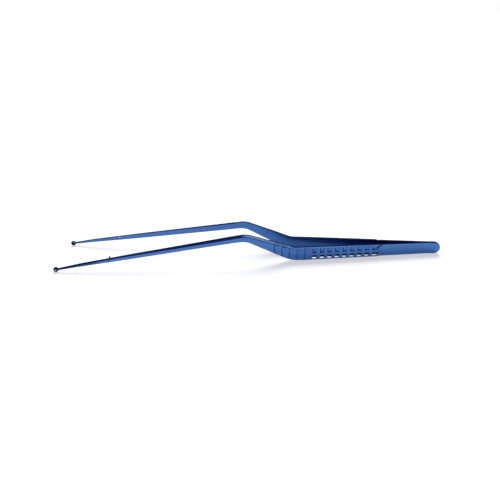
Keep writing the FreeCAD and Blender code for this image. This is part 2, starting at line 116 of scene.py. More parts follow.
# A section runs once round the blade in six stretches of seven points: the lower edge, the outer
# face and the upper edge outside, then the upper edge, the inner face and the lower edge inside.
STRETCH = 7
LOWER_OUT, FACE_OUT, UPPER_OUT, UPPER_IN, FACE_IN, LOWER_IN = (
    slice(STRETCH * i, STRETCH * (i + 1)) for i in range(6))
COLUMNS = 6 * STRETCH
SWEEP = np.linspace(0, math.pi / 2, STRETCH)
EVEN = np.linspace(0, 1, STRETCH + 2)[1:-1]
# Heights of a face's seven rows on the grip, and shares of the height of five on the heel, where
# the two upper rows follow the teeth but stay above their own shares.
OUTER_LEVELS = (WINDOW_LOW, WINDOW_HIGH, 3.6, PIT_LOW, PIT_LOW + PIT_SILL, PIT_HIGH - PIT_LINTEL,
                PIT_HIGH)
INNER_LEVELS = (WINDOW_INNER_LOW, WINDOW_INNER_HIGH, 2.6, 3.9, 5.0, 6.2, PIT_HIGH)
HEEL_SHARES = (0.08, 0.22, 0.36, 0.5, 0.62)
HEEL_SHARE_SIXTH, HEEL_SHARE_SEVENTH = 0.74, 0.86

# The crank's outer upper edge: a wide facet, then a narrow steeper one of three points down to the
# face. Both are given together, as shares of their whole height and width.
FACET_TALL, FACET_WIDE = 1.25, 0.75
NARROW_POINTS = 3
FACET_FALL = np.array([0.0, 0.16, 0.32, 0.48, 0.62, 0.8, 1.0])
FACET_IN = np.array([1.0, 0.81, 0.62, 0.43, 0.25, 0.13, 0.0])
# The bevel of the butt's upper edge.
BUTT_EDGE = 0.6
# Shares of the two roundings on the grip and on the crank, and of the shaft's depth and thickness.
EDGE_GRIP, EDGE_CRANK = 0.4, 1.4
INNER_GRIP, INNER_CRANK = 0.45, 0.75
SHAFT_UPPER, SHAFT_LOWER, SHAFT_INNER, SHAFT_WIDE = (0.48, 0.66), 0.3, 0.17, 0.8

# Stretches along an arm. What each is named for is absent at its first place, full at its second.
CELLS_START, CELLS_STOP = (39.1, 39.2), (80.2, 79.8)
BUTT_BEVEL = (5.0, 2.0)
CRANK = (80.0, 100.0)
FACETS = (89.0, 94.0)
EVEN_ROWS = (103.0, 105.0)
SHAFT_ROUND = (119.0, 128.0)
GRIP_SHADE = (112.0, 92.0)
TIP_SHADE, TIP_SHADE_INSIDE = (201.0, 209.0), (219.0, 224.0)

# Shares of the deep blue painted shade, laid in cuts, on the grip's inner faces and at the tips.
# Cut walls have it where they climb by more than the first of WALL_CLIMB for each millimetre, and
# in full from the second; the teeth have a part of that.
WALL_CLIMB = (0.5, 0.9)
LEAST_RISE = 0.01
TOOTH_PAINTED_SHADE, TEETH_FROM = 0.7, 82.0
# Painted shade on the grip's inner faces, where the arms shade each other, and at the tips and cups.
INNER_PAINTED_SHADE = 0.4
TIP_PAINTED_SHADE, TIP_PAINTED_SHADE_INSIDE = 0.9, 0.7
# Shares of the rubbed colour on the rounded edges and more of it on the facet, where the pale
# colour is a painted highlight; the part of them that the shaft loses, and where they begin.
EDGE_WEAR, FACET_PAINTED_HIGHLIGHT = 0.4, 0.6
SHAFT_WEAR_LOST, WEAR_FROM = 0.7, 6.0

PIN_AT, PIN_HEIGHT = 198.5, 5.937
PIN_RADIUS, PIN_SEAT_RADIUS, PIN_NOSE_RADIUS = 0.42, 0.32, 0.27
PIN_SEAT = 1.05
# Edges of the pin, and how far the free end's taper and its last chamfer start from that end.
PIN_EDGE, PIN_TAPER, PIN_CHAMFER = 0.06, 0.15, 0.05
# The guide hole, and where the tool that cuts it starts and ends, out from the inner face.
GUIDE_RADIUS = 0.54
GUIDE_TOOL = (-2.0, 3.0)
# Radius of a lathed end that merging closes to a point, and the distance in metres it merges.
POLE, MERGE = 0.0001, 1e-7
# Steps round a turned form, points on a cup's dome, and the angles in degrees above which an edge
# is shaded sharp.
CUP_STEPS, PIN_STEPS, DOME_POINTS = 48, 32, 12
BLADE_CREASE, PIN_CREASE = 32, 40

# Scales of the finishes' noise, per metre.
CLOUD_SCALE, PATCH_SCALE, BLAST_SCALE = 90, 700, 5000
DRAWN_SCALE, TURNED_SCALE = (150, 4000, 4000), (600, 9000, 600)
# How strongly the wear attribute, with its painted highlight on the crank's facet, and the painted
# shade attribute show, how far the drawn grain takes the roughness down and up, and the blasted
# grain's strength and relief, the relief in metres.
WEAR_AND_HIGHLIGHT_STRENGTH, PAINTED_SHADE_STRENGTH = 0.9, 0.82
SMOOTHER, ROUGHER = 0.06, 0.08
BLAST_STRENGTH, BLAST_RELIEF = 0.12, 0.00004
# The pin's roughness, and how many times paler its palest turning marks are.
PIN_ROUGHNESS = (0.25, 0.45)
PIN_PALE = 2.5

# The stage: half the floor's width in metres, its glow for the camera and, less, in mirror rays,
# and the sun's width and turn in degrees.
FLOOR_REACH = 6.0
FLOOR_GLOW, FLOOR_GLOW_MIRRORED = 0.525, 0.44
SUN_ANGLE, SUN_TURN = 40, (-44, 6, 0)
# The sky is dark but for a pale screen behind, low down and to the left, and a round pale spot.
# The screen's limits are parts of a direction's length; the spot's edge is in degrees.
SKY_DARK, SKY_PALE = (0.02, 0.045, 0.14, 1), (1.2, 1.2, 1.2, 1)
SCREEN_BEHIND, SCREEN_LOW, SCREEN_LEFT = (0.05, 0.5), (0.7, 0.3), (0.2, -0.12)
SPOT_AIM = Vector((0.4, -0.66, 0.64)).normalized()
SPOT_EDGE = (22, 12)
# The camera's place, and how far in degrees it looks down and is turned to the side.
CAMERA_PLACE = Vector((-8.23, -234.02, 135.41))
CAMERA_DOWN, CAMERA_TURN = 29.384, -1.619


class FORCEPS_PG_shape(bpy.types.PropertyGroup):
    """Sizes of the arms and the pin."""

    edge_round: bpy.props.FloatProperty(
        name="Edge rounding", description="Rounding of the blades' long edges",
        default=0.32 * MM, min=0.05 * MM, max=0.5 * MM, unit="LENGTH", precision=5)
    inner_round: bpy.props.FloatProperty(
        name="Inner edge rounding", description="Rounding of the edges along the inner faces",
        default=0.22 * MM, min=0.03 * MM, max=0.5 * MM, unit="LENGTH", precision=5)
    pin_reach: bpy.props.FloatProperty(
        name="Pin reach", description="Length of the guide pin inside the left arm",
        default=4.0 * MM, min=1.0 * MM, max=8.0 * MM, unit="LENGTH", precision=5)


class FORCEPS_PG_finish(bpy.types.PropertyGroup):
    """Colours of the anodised surface."""

    blue: bpy.props.FloatVectorProperty(
        name="Anodised blue", description="Main colour of the oxide layer",
        subtype="COLOR", size=3, min=0, max=1, default=(0.06, 0.183, 0.455))
    violet: bpy.props.FloatVectorProperty(
        name="Violet cast", description="Colour where the oxide layer is a little thinner",
        subtype="COLOR", size=3, min=0, max=1, default=(0.068, 0.147, 0.43))
    # Pale colour of the rubbed edges, also laid on the crank's wide facet as a painted highlight.
    worn_and_highlight: bpy.props.FloatVectorProperty(
        name="Worn edge", description="Colour of the rubbed edges",
        subtype="COLOR", size=3, min=0, max=1, default=(0.26, 0.36, 0.52))
    # Painted shade, not thicker oxide: dark blue on cut walls, the grip's inner faces and the tips and
    # cups.
    deep: bpy.props.FloatVectorProperty(
        name="Deep blue", description="Colour of the thicker oxide on cut walls and at the tips",
        subtype="COLOR", size=3, min=0, max=1, default=(0.008, 0.03, 0.11))
    pin: bpy.props.FloatVectorProperty(
        name="Pin", description="Colour of the blued steel pin",
        subtype="COLOR", size=3, min=0, max=1, default=(0.012, 0.02, 0.05))
    roughness: bpy.props.FloatProperty(
        name="Roughness", description="Roughness of the blasted satin surface",
        default=0.24, min=0.05, max=1.0, subtype="FACTOR")


class FORCEPS_PG_stage(bpy.types.PropertyGroup):
    """Camera and light."""

    floor_colour: bpy.props.FloatVectorProperty(
        name="Floor", description="Colour of the floor",
        subtype="COLOR", size=3, min=0, max=1, default=(0.8, 0.79, 0.74))
    focal_length: bpy.props.FloatProperty(
        name="Focal length", description="Focal length of the camera in millimetres",
        default=31.81, min=10, max=200)
    lamp_strength: bpy.props.FloatProperty(
        name="Overhead light", description="Strength of the soft overhead light",
        default=2.8, min=0, max=20)


def ramp(value, start, end):
    """0 before the start, 1 past the end, and the share of the way between them."""
    return np.clip((value - start) / (end - start), 0, 1)


def smooth_ramp(value, start, end):
    """The ramp's square times three minus twice the ramp, which sets in and ends gently."""
    share = ramp(value, start, end)
    return share * share * (3 - 2 * share)


def shaft_share(at):
    """How far the flat blade has gone over to the shaft's half-round form."""
    return smooth_ramp(at, *SHAFT_ROUND)


def facet_share(at):
    """How far the outer upper edge has gone over to the crank's two facets."""
    return ramp(at, *FACETS) * (1 - shaft_share(at))


def rounded_line(at, corners):
    """Height of an outline: straight lines between the corners, with a circle's arc in place of
    each corner that has a rounding. An arc starts and ends at the rounding times the tangent of
    half the corner's turn from it, and its centre lies one rounding off both lines."""
    x, z, radius = (np.array(column) for column in zip(*corners))
    height = np.interp(at, x, z)
    for i in range(1, len(x) - 1):
        if not radius[i]:
            continue
        back = math.atan2(z[i] - z[i - 1], x[i] - x[i - 1])
        ahead = math.atan2(z[i + 1] - z[i], x[i + 1] - x[i])
        sense = math.copysign(1, ahead - back)
        reach = radius[i] * math.tan(abs(ahead - back) / 2)
        start, end = x[i] - reach * math.cos(back), x[i] + reach * math.cos(ahead)
        centre_x = start - sense * radius[i] * math.sin(back)
        centre_z = z[i] - reach * math.sin(back) + sense * radius[i] * math.cos(back)
        fall = np.sqrt(np.clip(radius[i] ** 2 - (at - centre_x) ** 2, 0, None))
        height = np.where((at > start) & (at < end), centre_z - sense * fall, height)
    return height


def outline(at, corners, inward):
    """An outline's heights and unit inward normals. The butt's corner is a quarter circle: its
    height is the centre's plus or minus the root of the radius squared less the distance along the
    arm from the centre squared, and its normals point to the centre. Elsewhere they stand at right
    angles to the slope."""
    height = rounded_line(at, corners)
    centre = corners[0][1] + inward * BUTT_ROUND
    near = at < BUTT_ROUND
    arc = np.sqrt(np.clip(BUTT_ROUND ** 2 - (BUTT_ROUND - at) ** 2, 0, None))
    height = np.where(near, centre - inward * arc, height)
    step = 0.01
    slope = (rounded_line(at + step, corners) - rounded_line(at - step, corners)) / (2 * step)
    normal = np.stack([-inward * slope, np.full_like(at, inward)], axis=-1)
    butt = np.stack([BUTT_ROUND - at, centre - height], axis=-1)
    normal = np.where(near[:, None], butt, normal)
    return height, normal / np.linalg.norm(normal, axis=-1, keepdims=True)


def stations():
    """Places along an arm where a section stands: close on curves and at each cell and tooth."""
    turn = np.linspace(0, math.pi / 2, BUTT_SECTIONS)
    places = [BUTT_ROUND * (1 - np.cos(turn)), (STEP_FROM, STEP_MID, STEP_TO),
              (TAPER_AT, SLIM_AT, SECTIONS_END)]
    places += [np.arange(*run) for run in SECTION_RUNS]
    for centre, half in CELLS:
        wide = half + PIT_SPARE
        places.append(centre + np.array([-wide, -half, PIT_REAR - wide, wide - PIT_FRONT,
                                         half, wide]))
    for front in TEETH:
        places.append(front - np.array([TOOTH_RUN, TOOTH_RUN / 2, *TOOTH_PROFILE[0]]))
    return np.unique(np.concatenate(places).round(4))


def dent(at, height, top):
    """Depth of the outer face at each point. A pit is the lowest of four ramps, one in from each
    of its edges. A tooth is a saw of a steep front flank and a long rear one, which fades out
    below the upper edge. Where two meet the deeper one holds."""
    deep = np.zeros_like(at)
    for centre, half in CELLS:
        wide = half + PIT_SPARE
        across = np.minimum((height - PIT_LOW) / PIT_SILL, (PIT_HIGH - height) / PIT_LINTEL)
        along = np.minimum((centre + wide - at) / PIT_FRONT, (at - centre + wide) / PIT_REAR)
        deep = np.maximum(deep, PIT_DEEP * np.clip(np.minimum(along, across), 0, 1))
    for front in TEETH:
        saw = np.interp(front - at, *TOOTH_PROFILE, left=0, right=0)
        fade = np.clip((top - TOOTH_MARGIN - height) / TOOTH_LINTEL, 0, 1)
        deep = np.maximum(deep, saw * fade)
    return deep


def arm_turn(at):
    """Angle between an arm and the middle plane: none on the welded flat, then the spread angle,
    with a smooth ramp round the weld's front edge."""
    return SPREAD * smooth_ramp(at, WELD - WELD_TURN, WELD + WELD_TURN)


def placed(at, out, height, side):
    """Model coordinates in metres of points on an arm, side -1 left or 1 right. The inner face
    runs along the sums of the turn's cosine and sine over short steps, and a point lies out from
    it at right angles to the turn there."""
    track = np.linspace(0, TRACK_RUN, TRACK_POINTS)
    turn = arm_turn(track)
    middle = turn[:-1] / 2 + turn[1:] / 2
    step = track[1] - track[0]
    run_x = np.concatenate([[0], np.cumsum(np.cos(middle))]) * step
    run_y = np.concatenate([[0], np.cumsum(np.sin(middle))]) * step
    turn = arm_turn(at)
    x = HALF_LENGTH - np.interp(at, track, run_x) + out * np.sin(turn)
    y = np.interp(at, track, run_y) + out * np.cos(turn)
    return np.stack([x, side * y, height], axis=-1) * MM


def grid_quads(rows, columns):
    """Corner numbers of the quads of a grid that closes both ways: each point, its neighbour in
    the row, and those two in the next row. An open grid leaves the last row of quads out."""
    grid = np.arange(rows * columns).reshape(rows, columns)
    beside = np.roll(grid, -1, axis=1)
    return np.stack([grid, beside, np.roll(beside, -1, axis=0), np.roll(grid, -1, axis=0)], axis=-1)


def new_piece(name, points, faces, wear_and_highlight=None, painted_shade=None):
    """A mesh object in the scene from whole arrays of points and faces, with its wear and painted
    highlight given for each point and its painted shade for each face."""
    mesh = bpy.data.meshes.new(name)
    mesh.from_pydata(points.reshape(-1, 3).tolist(), [], faces)
    for key, values, domain in (("wear_and_highlight", wear_and_highlight, "POINT"), ("painted_shade", painted_shade, "FACE")):
        if values is not None:
            layer = mesh.attributes.new(key, "FLOAT", domain)
            layer.data.foreach_set("value", np.ravel(values).astype(np.float32))
    mesh.update()
    piece = bpy.data.objects.new(name, mesh)
    bpy.context.scene.collection.objects.link(piece)
    return piece


def edge_points(at, line, tall, wide, facet):
    """Place, depth in from the face, and height of the points of one edge, from the outline
    towards the face. A point is off the outline, along its inward normal, by tall times one minus
    the sweep's cosine, and in from the face by wide times one minus its sine; on a facetted
    stretch the two facets' own shares take the place of both."""
    height, normal = line
    off = tall[:, None] * ((1 - facet) * (1 - np.cos(SWEEP)) + facet * FACET_FALL)
    inset = wide[:, None] * ((1 - facet) * (1 - np.sin(SWEEP)) + facet * FACET_IN)
    return at[:, None] + normal[:, :1] * off, inset, height[:, None] + normal[:, 1:] * off


def blade_edges(at, upper, lower, thick, edge, inner_edge):
    """The lower and upper edge outside and the lower and upper edge inside. On the grip and the
    crank they are shares of the two given roundings. They go over to shares of the shaft's depth
    and thickness, the outer upper one to the crank's facets and to the butt's bevel."""
    shaft, facet, butt = shaft_share(at), facet_share(at), ramp(at, *BUTT_BEVEL)
    crank = ramp(at, *CRANK)
    depth = upper[0] - lower[0]
    plain = edge * (EDGE_GRIP + (EDGE_CRANK - EDGE_GRIP) * crank)
    share = np.interp(at, (SHAFT_AT, SLIM_AT), SHAFT_UPPER)
    wide = plain + (SHAFT_WIDE * thick - plain) * shaft
    upper_tall = plain + (share * depth - plain) * shaft + (FACET_TALL - plain) * facet
    upper_tall += (BUTT_EDGE - plain) * butt
    upper_wide = wide + (FACET_WIDE - plain) * facet + (BUTT_EDGE - plain) * butt
    lower_tall = plain + (SHAFT_LOWER * depth - plain) * shaft
    inner = inner_edge * (INNER_GRIP + (INNER_CRANK - INNER_GRIP) * crank)
    inner = inner + (SHAFT_INNER * depth - inner) * shaft
    return (edge_points(at, lower, lower_tall, wide, 0),
            edge_points(at, upper, upper_tall, upper_wide, facet[:, None]),
            edge_points(at, lower, inner, inner, 0),
            edge_points(at, upper, inner, inner, 0))


def between(first, last):
    """Seven even steps between the points where a lower and an upper edge meet the face."""
    return first[:, -1:] + (last[:, -1:] - first[:, -1:]) * EVEN


def face_rows(at, lower, upper, levels, edge):
    """Heights of a face's seven rows between its lower and its upper edge. On the leaf and the
    shaft they are even, on the grip they stand at the cells' levels, and on the heel five are
    shares of the height and the two upper ones stand where the teeth begin to fade and end."""
    first, last = lower[2][:, -1:], upper[2][:, -1:]
    span = last - first
    even = between(lower[2], upper[2])
    end = last - TOOTH_MARGIN + edge
    heel = np.hstack([first + span * HEEL_SHARES,
                      np.maximum(end - TOOTH_LINTEL, first + HEEL_SHARE_SIXTH * span),
                      np.maximum(end, first + HEEL_SHARE_SEVENTH * span)])
    at = at[:, None]
    far = ramp(at, *EVEN_ROWS)
    cells = ramp(at, *CELLS_START) * ramp(at, *CELLS_STOP)
    rows = (heel * (1 - far) + even * far) * (1 - cells) + levels * cells
    return np.where(at < (STEP_FROM + STEP_MID) / 2, even, rows)


def windows(at):
    """Which quads of an arm's skin stay, and the windows' walls as quads from the outer to the
    inner face: a sill and a lintel for each strip between two sections, and two end walls."""
    keep = np.ones((len(at) - 1, COLUMNS), bool)
    walls = []
    low_out, high_out = FACE_OUT.start, FACE_OUT.start + 1
    high_in, low_in = FACE_IN.stop - 2, FACE_IN.stop - 1
    for centre, half in CELLS:
        start, end = (int(np.argmin(np.abs(at - place))) for place in (centre - half, centre + half))
        keep[start:end, [low_out, high_in]] = False
        a = np.arange(start, end) * COLUMNS
        b = a + COLUMNS
        sills = np.stack([a + low_out, b + low_out, b + low_in, a + low_in], axis=-1)
        lintels = np.stack([b + high_out, a + high_out, a + high_in, b + high_in], axis=-1)
        walls += np.stack([sills, lintels], axis=1).reshape(-1, 4).tolist()
        a, b = start * COLUMNS, end * COLUMNS
        walls.append([a + high_out, a + low_out, a + low_in, a + high_in])
        walls.append([b + low_out, b + high_out, b + high_in, b + low_in])
    return keep, walls


def painted_shade_shares(at, deep, height):
    """Share of the dark painted shade on each quad of an arm's skin. It grows with the climb of the
    outer face, the larger of the change of depth along the arm and across it, each over its run, so
    that cut walls are painted darker as shade. It is at least the inner faces' painted shade on the
    grip, where the arms shade each other, and at least the tips' painted shade near the cup."""
    steep = np.zeros_like(height)
    steep[:, FACE_OUT] = deep
    along = np.abs(np.diff(steep, axis=0)) / np.diff(at)[:, None]
    rise = np.abs(np.diff(height, axis=1, append=height[:, :1]))
    across = np.abs(np.diff(steep, axis=1, append=steep[:, :1])) / np.maximum(rise, LEAST_RISE)
    climb = np.maximum(np.maximum(along, np.roll(along, -1, axis=1)), across[:-1])
    at = at[:-1, None]
    painted_shade = ramp(climb, *WALL_CLIMB) * np.where(at > TEETH_FROM, TOOTH_PAINTED_SHADE, 1.0)
    least = np.repeat(TIP_PAINTED_SHADE * ramp(at, *TIP_SHADE), COLUMNS, axis=1)
    least[:, FACE_IN.start:] = np.maximum(INNER_PAINTED_SHADE * ramp(at, *GRIP_SHADE),
                                          TIP_PAINTED_SHADE_INSIDE * ramp(at, *TIP_SHADE_INSIDE))
    return np.maximum(painted_shade, least)


def wear_and_highlight_shares(at):
    """Share of the rubbed colour at each point: even on the rounded edges, but none on the
    crank's narrow facet, more on its wide one as a painted highlight, none at the butt, and less on
    the shaft."""
    facet = facet_share(at)[:, None]
    wear_and_highlight = np.zeros((len(at), COLUMNS))
    for edge in (LOWER_OUT, UPPER_OUT, UPPER_IN, LOWER_IN):
        wear_and_highlight[:, edge] = EDGE_WEAR
    wide_facet = UPPER_OUT.start + NARROW_POINTS
    wear_and_highlight[:, UPPER_OUT.start:wide_facet] *= 1 - facet
    wear_and_highlight[:, wide_facet:UPPER_OUT.stop] += FACET_PAINTED_HIGHLIGHT * facet
    wear_and_highlight[at < WEAR_FROM] = 0
    return wear_and_highlight * (1 - SHAFT_WEAR_LOST * shaft_share(at)[:, None])


def arm_piece(name, side, edge, inner_edge):
    """One arm: sections of two faces joined by four edges, set along the arm and closed by the
    end sections. The outer face stands at the thickness less the depth of pits and teeth."""
    at = stations()
    upper, lower = outline(at, UPPER, -1), outline(at, LOWER, 1)
    thick = np.interp(at, *zip(*THICKNESS))
    lower_out, upper_out, lower_in, upper_in = blade_edges(at, upper, lower, thick, edge, inner_edge)
    place_out, place_in = between(lower_out[0], upper_out[0]), between(lower_in[0], upper_in[0])
    face_out = face_rows(at, lower_out, upper_out, OUTER_LEVELS, edge)
    face_in = face_rows(at, lower_in, upper_in, INNER_LEVELS, edge)
    deep = dent(place_out, face_out, upper[0][:, None])

    thick = thick[:, None]
    place = np.hstack([lower_out[0], place_out, upper_out[0][:, ::-1],
                       upper_in[0], place_in[:, ::-1], lower_in[0][:, ::-1]])
    out = np.hstack([thick - lower_out[1], thick - deep, thick - upper_out[1][:, ::-1],
                     upper_in[1], np.zeros_like(face_in), lower_in[1][:, ::-1]])
    height = np.hstack([lower_out[2], face_out, upper_out[2][:, ::-1],
                        upper_in[2], face_in[:, ::-1], lower_in[2][:, ::-1]])

    keep, walls = windows(at)
    ring = np.arange(COLUMNS)
    ends = [ring[::-1].tolist(), (ring + (len(at) - 1) * COLUMNS).tolist()]
    faces = grid_quads(*place.shape)[:-1][keep].tolist() + walls + ends
    # Painted shade in full on the windows' walls, none on the end sections.
    painted_shade = painted_shade_shares(at, deep, height)[keep].tolist() + [1.0] * len(walls) + [0.0] * len(ends)
    if side > 0:
        faces = [face[::-1] for face in faces]
    return new_piece(name, placed(place, out, height, side), faces, wear_and_highlight_shares(at), painted_shade)


def lathe(name, profile, centre, side, steps, painted_shade=0.0):
    """A solid of revolution: a closed profile of radius and distance out from the inner face,
    carried round an axis across the arm, at a place and height on it."""
    radius, out = np.array(profile).T
    turn = np.linspace(0, 2 * math.pi, steps, endpoint=False)[:, None]
    at = centre[0] + np.cos(turn) * radius
    height = centre[1] + np.sin(turn) * radius
    points = placed(at, out * np.ones_like(at), height, side)
    quads = grid_quads(*at.shape).reshape(-1, 4).tolist()
    return new_piece(name, points, quads, np.zeros(at.size), np.full(len(quads), painted_shade))


def cup_piece(name, side):
    """A cup turned from its profile: straight rim, a dome whose radius and distance out follow
    the cosine and the sine of the turn, cut off at the apex, and a hole that widens to the grip
    face. Its crisp corners are broken."""
    face = -CUP_PROUD
    turn = np.linspace(0, math.asin((CUP_APEX - CUP_RIM) / CUP_RADIUS), DOME_POINTS)
    dome = np.stack([CUP_RADIUS * np.cos(turn), CUP_RIM + CUP_RADIUS * np.sin(turn)], axis=-1)
    profile = [(CUP_MOUTH, face + CUP_SOFT), (CUP_MOUTH + CUP_SOFT, face),
               (CUP_RADIUS - CUP_SOFT, face), (CUP_RADIUS, face + CUP_SOFT), *dome,
               (CUP_HOLE + CUP_SOFT, CUP_APEX), (CUP_HOLE, CUP_APEX - CUP_SOFT),
               (CUP_HOLE, CUP_HOLE_END)]
    # The cup takes the tips' painted shade.
    return lathe(name, profile, (CUP_AT, CUP_RADIUS), side, CUP_STEPS, TIP_PAINTED_SHADE)


def outward(piece):
    """Merge doubled points and turn every face outwards."""
    form = bmesh.new()
    form.from_mesh(piece.data)
    bmesh.ops.remove_doubles(form, verts=form.verts, dist=MERGE)
    bmesh.ops.recalc_face_normals(form, faces=form.faces)
    form.to_mesh(piece.data)
    form.free()
    piece.data.update()


def joined(name, pieces):
    """One object from several closed shells."""
    with bpy.context.temp_override(active_object=pieces[0], selected_editable_objects=pieces):
        bpy.ops.object.join()
    pieces[0].name = name
    pieces[0].data.name = name
    return pieces[0]


def smooth(piece, angle):
    """Smooth shading with sharp edges above an angle in degrees."""
    piece.data.shade_smooth()
    piece.data.set_sharp_from_angle(angle=math.radians(angle))


def cut(piece, tool):
    """Take a closed tool away from a piece, keep the result as its mesh, and give the faces that
    the tool leaves the full painted shade, a dark colour standing in for the shade in the cut. They
    are known by the tool's material slot."""
    outward(tool)
    marks = [bpy.data.materials.new(name) for name in ("surface", "cut_wall")]
    piece.data.materials.append(marks[0])
    tool.data.materials.append(marks[1])
    boolean = piece.modifiers.new("cut", "BOOLEAN")
    boolean.material_mode = "TRANSFER"
    boolean.operation = "DIFFERENCE"
    boolean.solver = "EXACT"
    boolean.object = tool
    bpy.context.view_layer.update()
    settled = piece.evaluated_get(bpy.context.evaluated_depsgraph_get())
    mesh = bpy.data.meshes.new_from_object(settled)
    piece.modifiers.clear()
    piece.data = mesh
    mesh.name = piece.name
    bpy.data.objects.remove(tool)
    slots = np.zeros(len(mesh.polygons), np.int32)
    mesh.polygons.foreach_get("material_index", slots)
    painted_shade = np.zeros(len(slots), np.float32)
    mesh.attributes["painted_shade"].data.foreach_get("value", painted_shade)
    mesh.attributes["painted_shade"].data.foreach_set("value", np.maximum(painted_shade, slots > 0))
    mesh.polygons.foreach_set("material_index", np.zeros(len(slots), np.int32))
    mesh.materials.clear()
    for mark in marks:
        bpy.data.materials.remove(mark)


def cross_hole(side):
    """A cylinder turned across an arm at the guide pin's place, which cuts the guide hole."""
    start, end = GUIDE_TOOL
    profile = [(POLE, start), (GUIDE_RADIUS, start), (GUIDE_RADIUS, end), (POLE, end)]
    return lathe("cross_hole_tool", profile, (PIN_AT, PIN_HEIGHT), side, PIN_STEPS, 1.0)


def corner_notch(side):
    """A tool for the slanted blind notch in the grip's rear upper corner: a box whose upper half
    is pushed towards the butt by as much as it rises."""
    run = np.array([0, 0, NOTCH_SLANT, NOTCH_SLANT])
    wide = np.array([0, NOTCH_WIDTH, NOTCH_WIDTH, 0])
    at = np.tile(NOTCH_AT - run - wide, 2)
    height = np.tile(NOTCH_LOW + run, 2)
    clear = 1.0
    out = np.repeat([GRIP_THICK - NOTCH_DEEP, GRIP_THICK + clear], 4)
    sides = [[i, (i + 1) % 4, (i + 1) % 4 + 4, i + 4] for i in range(4)]
    faces = sides + [[3, 2, 1, 0], [4, 5, 6, 7]]
    points = placed(at, out, height, side)
    return new_piece("notch_tool", points, faces, np.zeros(len(points)), np.ones(len(faces)))


def feed(tree, socket, value):
    """Link a socket to another node's output, or set it to a constant."""
    if isinstance(value, bpy.types.NodeSocket):
        tree.links.new(value, socket)
    else:
        socket.default_value = value


def node(tree, kind, place, **values):
    """A shader node with its plain properties set."""
    item = tree.nodes.new(kind)
    item.location = place
    for key, value in values.items():
        setattr(item, key, value)
    return item


def worked(tree, place, operation, *values):
    """The result of a Math node on sockets or constants."""
    item = node(tree, "ShaderNodeMath", place, operation=operation)
    for i, value in enumerate(values):
        feed(tree, item.inputs[i], value)
    return item.outputs[0]


def mixed(tree, place, share, first, second):
    """A colour between two colours by a share."""
    item = node(tree, "ShaderNodeMix", place, data_type="RGBA")
    for key, value in (("Factor", share), ("A", first), ("B", second)):
        feed(tree, item.inputs[key], value)
    return item.outputs["Result"]


def ranged(tree, place, value, source=(0, 1), target=(0, 1), kind="LINEAR"):
    """A value carried from one range to another."""
    item = node(tree, "ShaderNodeMapRange", place, interpolation_type=kind)
    for key, number in zip(("From Min", "From Max", "To Min", "To Max"), (*source, *target)):
        item.inputs[key].default_value = number
    feed(tree, item.inputs["Value"], value)
    return item.outputs["Result"]


def noise(tree, place, where, scale, detail=2):
    """Noise over the given coordinates. A scale of three numbers stretches them one by one."""
    if isinstance(scale, tuple):
        stretch = node(tree, "ShaderNodeMapping", (place[0] - 200, place[1]))
        stretch.inputs["Scale"].default_value = scale
        feed(tree, stretch.inputs["Vector"], where)
        where, scale = stretch.outputs["Vector"], 1.0
    item = node(tree, "ShaderNodeTexNoise", place)
    item.inputs["Scale"].default_value = scale
    item.inputs["Detail"].default_value = detail
    feed(tree, item.inputs["Vector"], where)
    return item.outputs["Fac"]


def new_finish(name, metallic):
    """A material with its node tree and its shader."""
    material = bpy.data.materials.new(name)
    material.use_nodes = True
    tree = material.node_tree
    shader = tree.nodes["Principled BSDF"]
    shader.inputs["Metallic"].default_value = metallic
    return material, tree, shader


def anodised_blue():
    """Satin blue oxide on blasted titanium: a cloudy shift of colour, paler rubbed edges and a
    painted highlight on the crank's facet where the wear attribute is high, a dark painted shade
    where the painted shade attribute is, grain drawn along the arm in the roughness, and a fine
    blasted grain in the bump."""
    finish = bpy.context.scene.forceps_finish
    material, tree, shader = new_finish("blue_anodised", 1.0)
    where = node(tree, "ShaderNodeTexCoord", (-1400, 0)).outputs["Object"]

    cloud = noise(tree, (-1000, 300), where, CLOUD_SCALE, 4)
    colour = mixed(tree, (-700, 300), cloud, (*finish.blue, 1), (*finish.violet, 1))
    # Pale colour of the rubbed edges, and a painted highlight on the crank's wide facet.
    wear_and_highlight_fac = node(tree, "ShaderNodeAttribute", (-1000, 0), attribute_name="wear_and_highlight").outputs["Fac"]
    patches = noise(tree, (-1000, -150), where, PATCH_SCALE)
    share = worked(tree, (-700, 0), "MULTIPLY", wear_and_highlight_fac, patches)
    share = worked(tree, (-550, 0), "MULTIPLY", share, WEAR_AND_HIGHLIGHT_STRENGTH)
    colour = mixed(tree, (-400, 300), share, colour, (*finish.worn_and_highlight, 1))
    # Painted shade: a dark blue in cuts, between the arms and at the tips.
    painted_shade_fac = node(tree, "ShaderNodeAttribute", (-400, 500), attribute_name="painted_shade").outputs["Fac"]
    share = worked(tree, (-250, 500), "MULTIPLY", painted_shade_fac, PAINTED_SHADE_STRENGTH)
    colour = mixed(tree, (-200, 300), share, colour, (*finish.deep, 1))
    feed(tree, shader.inputs["Base Color"], colour)

    drawn = noise(tree, (-1000, -400), where, DRAWN_SCALE, 3)
    limits = (finish.roughness - SMOOTHER, finish.roughness + ROUGHER)
    feed(tree, shader.inputs["Roughness"], ranged(tree, (-700, -400), drawn, target=limits))

    relief = node(tree, "ShaderNodeBump", (-400, -600))
    relief.inputs["Strength"].default_value = BLAST_STRENGTH
    relief.inputs["Distance"].default_value = BLAST_RELIEF
    feed(tree, relief.inputs["Height"], noise(tree, (-1000, -700), where, BLAST_SCALE))
    feed(tree, shader.inputs["Normal"], relief.outputs["Normal"])
    return material


